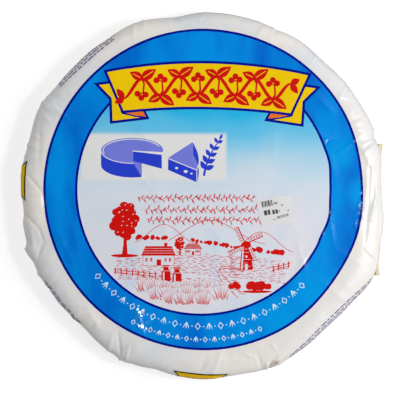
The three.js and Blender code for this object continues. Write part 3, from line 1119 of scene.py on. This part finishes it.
def ink_sheet(name):
    """One ink as a thin closed sheet over the film."""
    inked = triangles[[plate >= 0 and plates[plate][0] == name for plate in top_plate]]
    used, faces = np.unique(inked, return_inverse=True)
    faces = faces.reshape(-1, 3).tolist()
    count = len(used)
    edges = {edge for a, b, c in faces for edge in ((a, b), (b, c), (c, a))}
    walls = [(b, a, a + count, b + count) for a, b in edges if (b, a) not in edges]
    under = [(c + count, b + count, a + count) for a, b, c in faces]
    out = out_here[used]
    face_up, face_down = on_film[used] + out * INK_LIFT, on_film[used] + out * (INK_LIFT - INK_DEPTH)
    places = np.concatenate([face_up, face_down])
    sheet = made_piece("print_" + name, places, faces + under + sorted(walls), inks[name], "printed_film")
    sheet.data.normals_split_custom_set_from_vertices(np.concatenate([out, -out]).tolist())


def white_laminate():
    """White film with cool and warm patches, a matt band of painted shade along its side, and painted shade
    at the torn fold.
    """
    white = film_ink(
        "white_laminate", FILM_COOL, other=FILM_WARM, cloud_scale=16, gloss=(0.22, 0.36), coat=0.04
    )
    height = node_in(white, "SeparateXYZ", {"Vector": place_on(white)}).outputs["Z"]
    # Along the fullest part of the side, a band broken by a cloud is painted darker as shade and made matt.
    band = within(white, height, *[level * MM for level in SHADED_BAND_HEIGHTS])
    side_shade = both(white, band, fade_in(white, cloud(white, 26, 5), 0.1, 0.6))
    painted_over(white, side_shade, PAINTED_SIDE_SHADE)
    gloss = surface_of(white)["Roughness"].links[0].from_socket
    lead(white, calculated(white, "MULTIPLY_ADD", side_shade, SHADED_BAND_MATT, gloss), "Roughness")
    # Painted shade, broken by a cloud, at the small fold at the lower right.
    fold_shade = fade_in(white, cloud(white, 130), 0.32, 0.75)
    painted_over(white, both(white, near_to(white, *TORN_FOLD), fold_shade), FOLD_SHADE_BROWN)
    return white


wrap = made_piece("white_film", *white_film(), white_laminate(), "printed_film")
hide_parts("wrapped_wheel")
for name in inks:
    ink_sheet(name)

# The price sticker.
# A thin semi-matt paper label, stuck by hand on the finished pack, with small dark and grey
# bars printed on it.
STICKER_MIDDLE = (69.0, -15.0)
STICKER_SIZE = (33.0, 26.0)
STICKER_TURN = 11.0
STICKER_LIFT = (0.22, 0.42)  # its back and its face over the white film
BAR_LIFT = (0.40, 0.47)
STICKER_WHITE = (0.70, 0.695, 0.71)
BAR_DARK = (0.045, 0.043, 0.05)
BAR_GREY = (0.30, 0.29, 0.32)
CODE_BARS = (  # left edge and width
    (-12.4, 1.3), (-10.6, 0.6), (-9.4, 1.2), (-7.7, 0.6), (-6.5, 1.5), (-4.4, 0.6), (-3.2, 0.9),
)
CODE_LOW, CODE_HIGH = 5.9, 11.4
DARK_BLOCKS = (  # left, bottom, right, top from the sticker's middle
    (-11.7, -2.0, -8.9, 2.6), (-8.2, -2.0, -5.9, 2.6), (-3.9, -2.4, -1.6, 1.6), (-0.9, -2.4, 1.4, 1.6),
)
GREY_BLOCKS = (
    (-1.2, 6.4, 2.4, 8.6), (5.4, 3.6, 7.4, 5.2), (10.5, -2.0, 11.9, -0.6), (2.2, -1.4, 3.4, 0.6),
    (-0.6, -7.4, 2.6, -5.0), (3.2, -7.2, 5.2, -4.6), (5.9, -7.0, 7.7, -4.4), (8.4, -6.8, 10.6, -4.2),
    (-4.4, -8.0, -2.2, -7.0),
)
LABEL_STEP = 1.2  # mm between the points of paper and print
LABEL_GIVE = 0.5  # how much of the film's creases the paper follows


def laid_rectangle(left, bottom, right, top, lift):
    """Places and faces of a flat rectangle of paper or ink, laid over the film's form."""
    columns, rows = (max(2, round(size / LABEL_STEP)) for size in (right - left, top - bottom))
    x, y = np.meshgrid(np.linspace(left, right, columns + 1), np.linspace(bottom, top, rows + 1))
    place = moved(joined(x.ravel(), y.ravel()), STICKER_MIDDLE, STICKER_TURN)
    under = smooth_film(*place.T)
    stiff = under + LABEL_GIVE * (film(*place.T) - under)
    out = out_of_film(*place.T, smooth_film)
    count = len(place)
    grid = np.arange(count).reshape(rows + 1, columns + 1)
    face = faced(grid[:-1, :-1], grid[:-1, 1:], grid[1:, 1:], grid[1:, :-1])
    behind = [[corner + count for corner in corners[::-1]] for corners in face]
    ring = np.concatenate([grid[0], grid[1:, -1], grid[-1, -2::-1], grid[-2:0:-1, 0]])
    walls = [(b, a, a + count, b + count) for a, b in zip(ring.tolist(), np.roll(ring, -1).tolist())]
    back, front = lift
    return np.concatenate([stiff + out * front, stiff + out * back]), face + behind + walls


def label_piece(name, rectangles, lift, finish):
    places, faces, count = [], [], 0
    for corners in rectangles:
        more, sides = laid_rectangle(*corners, lift)
        faces += [[corner + count for corner in side] for side in sides]
        places.append(more)
        count += len(more)
    piece = made_piece(name, np.concatenate(places), faces, finish, "sticker_paper")
    piece.data.shade_flat()
    return piece


def paper(name, colour, drift, roughness):
    gloss = (roughness - 0.08, roughness + 0.08)
    return film_ink(name, colour, drift, cloud_scale=40, gloss=gloss, grain=300, relief=0.0003, coat=0.0)


half_width, half_depth = np.array(STICKER_SIZE) / 2
sticker = label_piece(
    "sticker",
    [(-half_width, -half_depth, half_width, half_depth)],
    STICKER_LIFT,
    paper("sticker_face", STICKER_WHITE, 0.03, 0.42),
)
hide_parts("price_sticker")
code = [(left, CODE_LOW, left + width, CODE_HIGH) for left, width in CODE_BARS]
for tone, bars, colour in (("dark", (*code, *DARK_BLOCKS), BAR_DARK), ("grey", GREY_BLOCKS, BAR_GREY)):
    label_piece(f"sticker_{tone}_bars", bars, BAR_LIFT, paper(f"bar_{tone}", colour, 0.08, 0.45))

# The closing tape.
# A straight strip of cream paper, folded once: one half lies under the foot, where it holds the
# gathered film shut, the other stands up the side.
TAPE_CREAM = (0.70, 0.60, 0.40)
TAPE_SECTIONS = 64
TAPE_FOLD = 1.2  # radius of its fold
TAPE_FREE = 20.0  # mm of each end that is free
TAPE_LEAN = 5.0  # how far the upright half's edge leans in at the tape's free ends
TAPE_WAVE = 0.2
TAPE_FLARE = 1.2  # how far its free ends spring out from the wheel


def tape_strip():
    """The folded strip, section by section along its length."""
    leg, rise, thick = TAPE_UNDER_LEG, TAPE_SIDE_LEG, TAPE_THICKNESS
    fold = np.array([toward(turn) for turn in np.linspace(270, 360, 5)])
    outer = TAPE_FOLD * (fold + (-1, 1))
    inner = outer - thick * fold
    upright = ((0, rise / 2), (0, rise), (-thick, rise), (-thick, rise / 2))
    section = np.array([(-leg, 0), *outer, *upright, *inner[::-1], (-leg, thick)])
    height = section[:, 1] / rise
    c, s = toward(TAPE_TURN)
    rings = []
    for at in np.linspace(-TAPE_LENGTH / 2, TAPE_LENGTH / 2, TAPE_SECTIONS + 1):
        wave = TAPE_WAVE * (1 + math.sin(at / 6.5) * math.sin(at / 2.7 + 1)) * height
        free = max(0.0, abs(at) - TAPE_LENGTH / 2 + TAPE_FREE) / TAPE_FREE
        lean = TAPE_LEAN * free**1.3 * height
        out = tape_face(at) + section[:, 0] + TAPE_FLARE * free**2 - lean - wave
        side = at + TAPE_SHIFT
        rings.append(joined(out * c - side * s, out * s + side * c, section[:, 1]))
    here = np.arange(len(rings) * len(section)).reshape(len(rings), -1)
    after = np.roll(here, -1, axis=1)
    ends = [here[0][::-1].tolist(), here[-1].tolist()]
    return np.concatenate(rings), faced(here[:-1], after[:-1], after[1:], here[1:]) + ends


tape = made_piece("paper_tape", *tape_strip(), paper("tape_cream", TAPE_CREAM, 0.05, 0.66), "tape_paper")
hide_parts("closing_tape")

# The studio.
# A plain pale floor, a large soft light at the right and a weaker one behind at the left. A faint
# panel overhead and a small hard lamp at the right give the film its sheen and its glints.
OUTLINE_MIDDLE = (203.4, 195.3)  # pixels of the photograph
MM_PER_PIXEL = 0.959  # at the belly's height
PICTURE = 400
CAMERA_HEIGHT = 1.5
SENSOR = 36  # mm
FLOOR_HALF = 6
FLOOR_GREY, FLOOR_GLOW, FLOOR_ROUGHNESS = 0.42, 0.68, 0.9
LAMPS = (  # name, place, side, power and tint
    ("right_softbox", (1.2, -0.1, 1.1), 1.2, 15.5, (1, 0.99, 0.975)),
    ("back_softbox", (-0.7, 1.1, 1.1), 0.9, 4.5, (1, 1, 1)),
    ("sheen_panel", (0.5, 0.32, 1.5), 0.45, 0.2, (1, 1, 1)),
    ("hard_lamp", (0.85, -0.02, 1.25), 0.11, 5.2, (1, 1, 1)),
)

pixel = MM_PER_PIXEL * MM
camera_data = bpy.data.cameras.new("camera")
camera_data.sensor_width = SENSOR
camera_data.lens = SENSOR * (CAMERA_HEIGHT - BELLY_HEIGHT * MM) / (PICTURE * pixel)
across = AXIS[0] + (PICTURE / 2 - OUTLINE_MIDDLE[0]) * pixel
up = AXIS[1] + (OUTLINE_MIDDLE[1] - PICTURE / 2) * pixel
bpy.context.scene.camera = placed("camera", camera_data, (across, up, CAMERA_HEIGHT))

floor_mesh = bpy.data.meshes.new("floor")
corners = [(x * FLOOR_HALF, y * FLOOR_HALF, 0) for x, y in ((-1, -1), (1, -1), (1, 1), (-1, 1))]
floor_mesh.from_pydata(corners, [], [(0, 1, 2, 3)])
floor = placed("floor", floor_mesh)
pale = bpy.data.materials.new("pale_floor")
pale.use_nodes = True
surface_of(pale)["Base Color"].default_value = (FLOOR_GREY, FLOOR_GREY, FLOOR_GREY, 1)
surface_of(pale)["Emission Color"].default_value = (1, 1, 1, 1)
surface_of(pale)["Emission Strength"].default_value = FLOOR_GLOW
surface_of(pale)["Roughness"].default_value = FLOOR_ROUGHNESS
floor_mesh.materials.append(pale)
floor.visible_diffuse = floor.visible_glossy = False  # what is under the wheel stays dim in its gloss

for name, place, side, power, tint in LAMPS:
    light = bpy.data.lights.new(name, "AREA")
    light.shape, light.size = "SQUARE", side
    light.energy, light.color = power, tint
    lamp = placed(name, light, place)
    lamp.rotation_euler = (-Vector(place)).to_track_quat("-Z", "Y").to_euler()

# The room is bright at its walls, dark overhead, so that flat film shows its full colour, and dim
# below, so that the film darkens where it turns under.
# Each level has its height, from 0 straight down to 1 straight up, and its brightness.
ROOM_LEVELS = ((0.47, 0.62), (0.52, 1.0), (0.72, 1.0), (0.94, 0.02))
ROOM_STRENGTH = 0.735

room = bpy.data.worlds.new("studio")
room.use_nodes = True
bpy.context.scene.world = room
way_out = room.node_tree.nodes.new("ShaderNodeTexCoord").outputs["Generated"]
upward = node_in(room, "SeparateXYZ", {"Vector": way_out}).outputs["Z"]
height = node_in(room, "MapRange", {"Value": upward, "From Min": -1}).outputs["Result"]
wall = shades(room, height, [(at, (level, level, level)) for at, level in ROOM_LEVELS])
glow = room.node_tree.nodes["Background"].inputs
room.node_tree.links.new(wall, glow["Color"])
glow["Strength"].default_value = ROOM_STRENGTH
bpy.context.scene.view_settings.view_transform = "Standard"
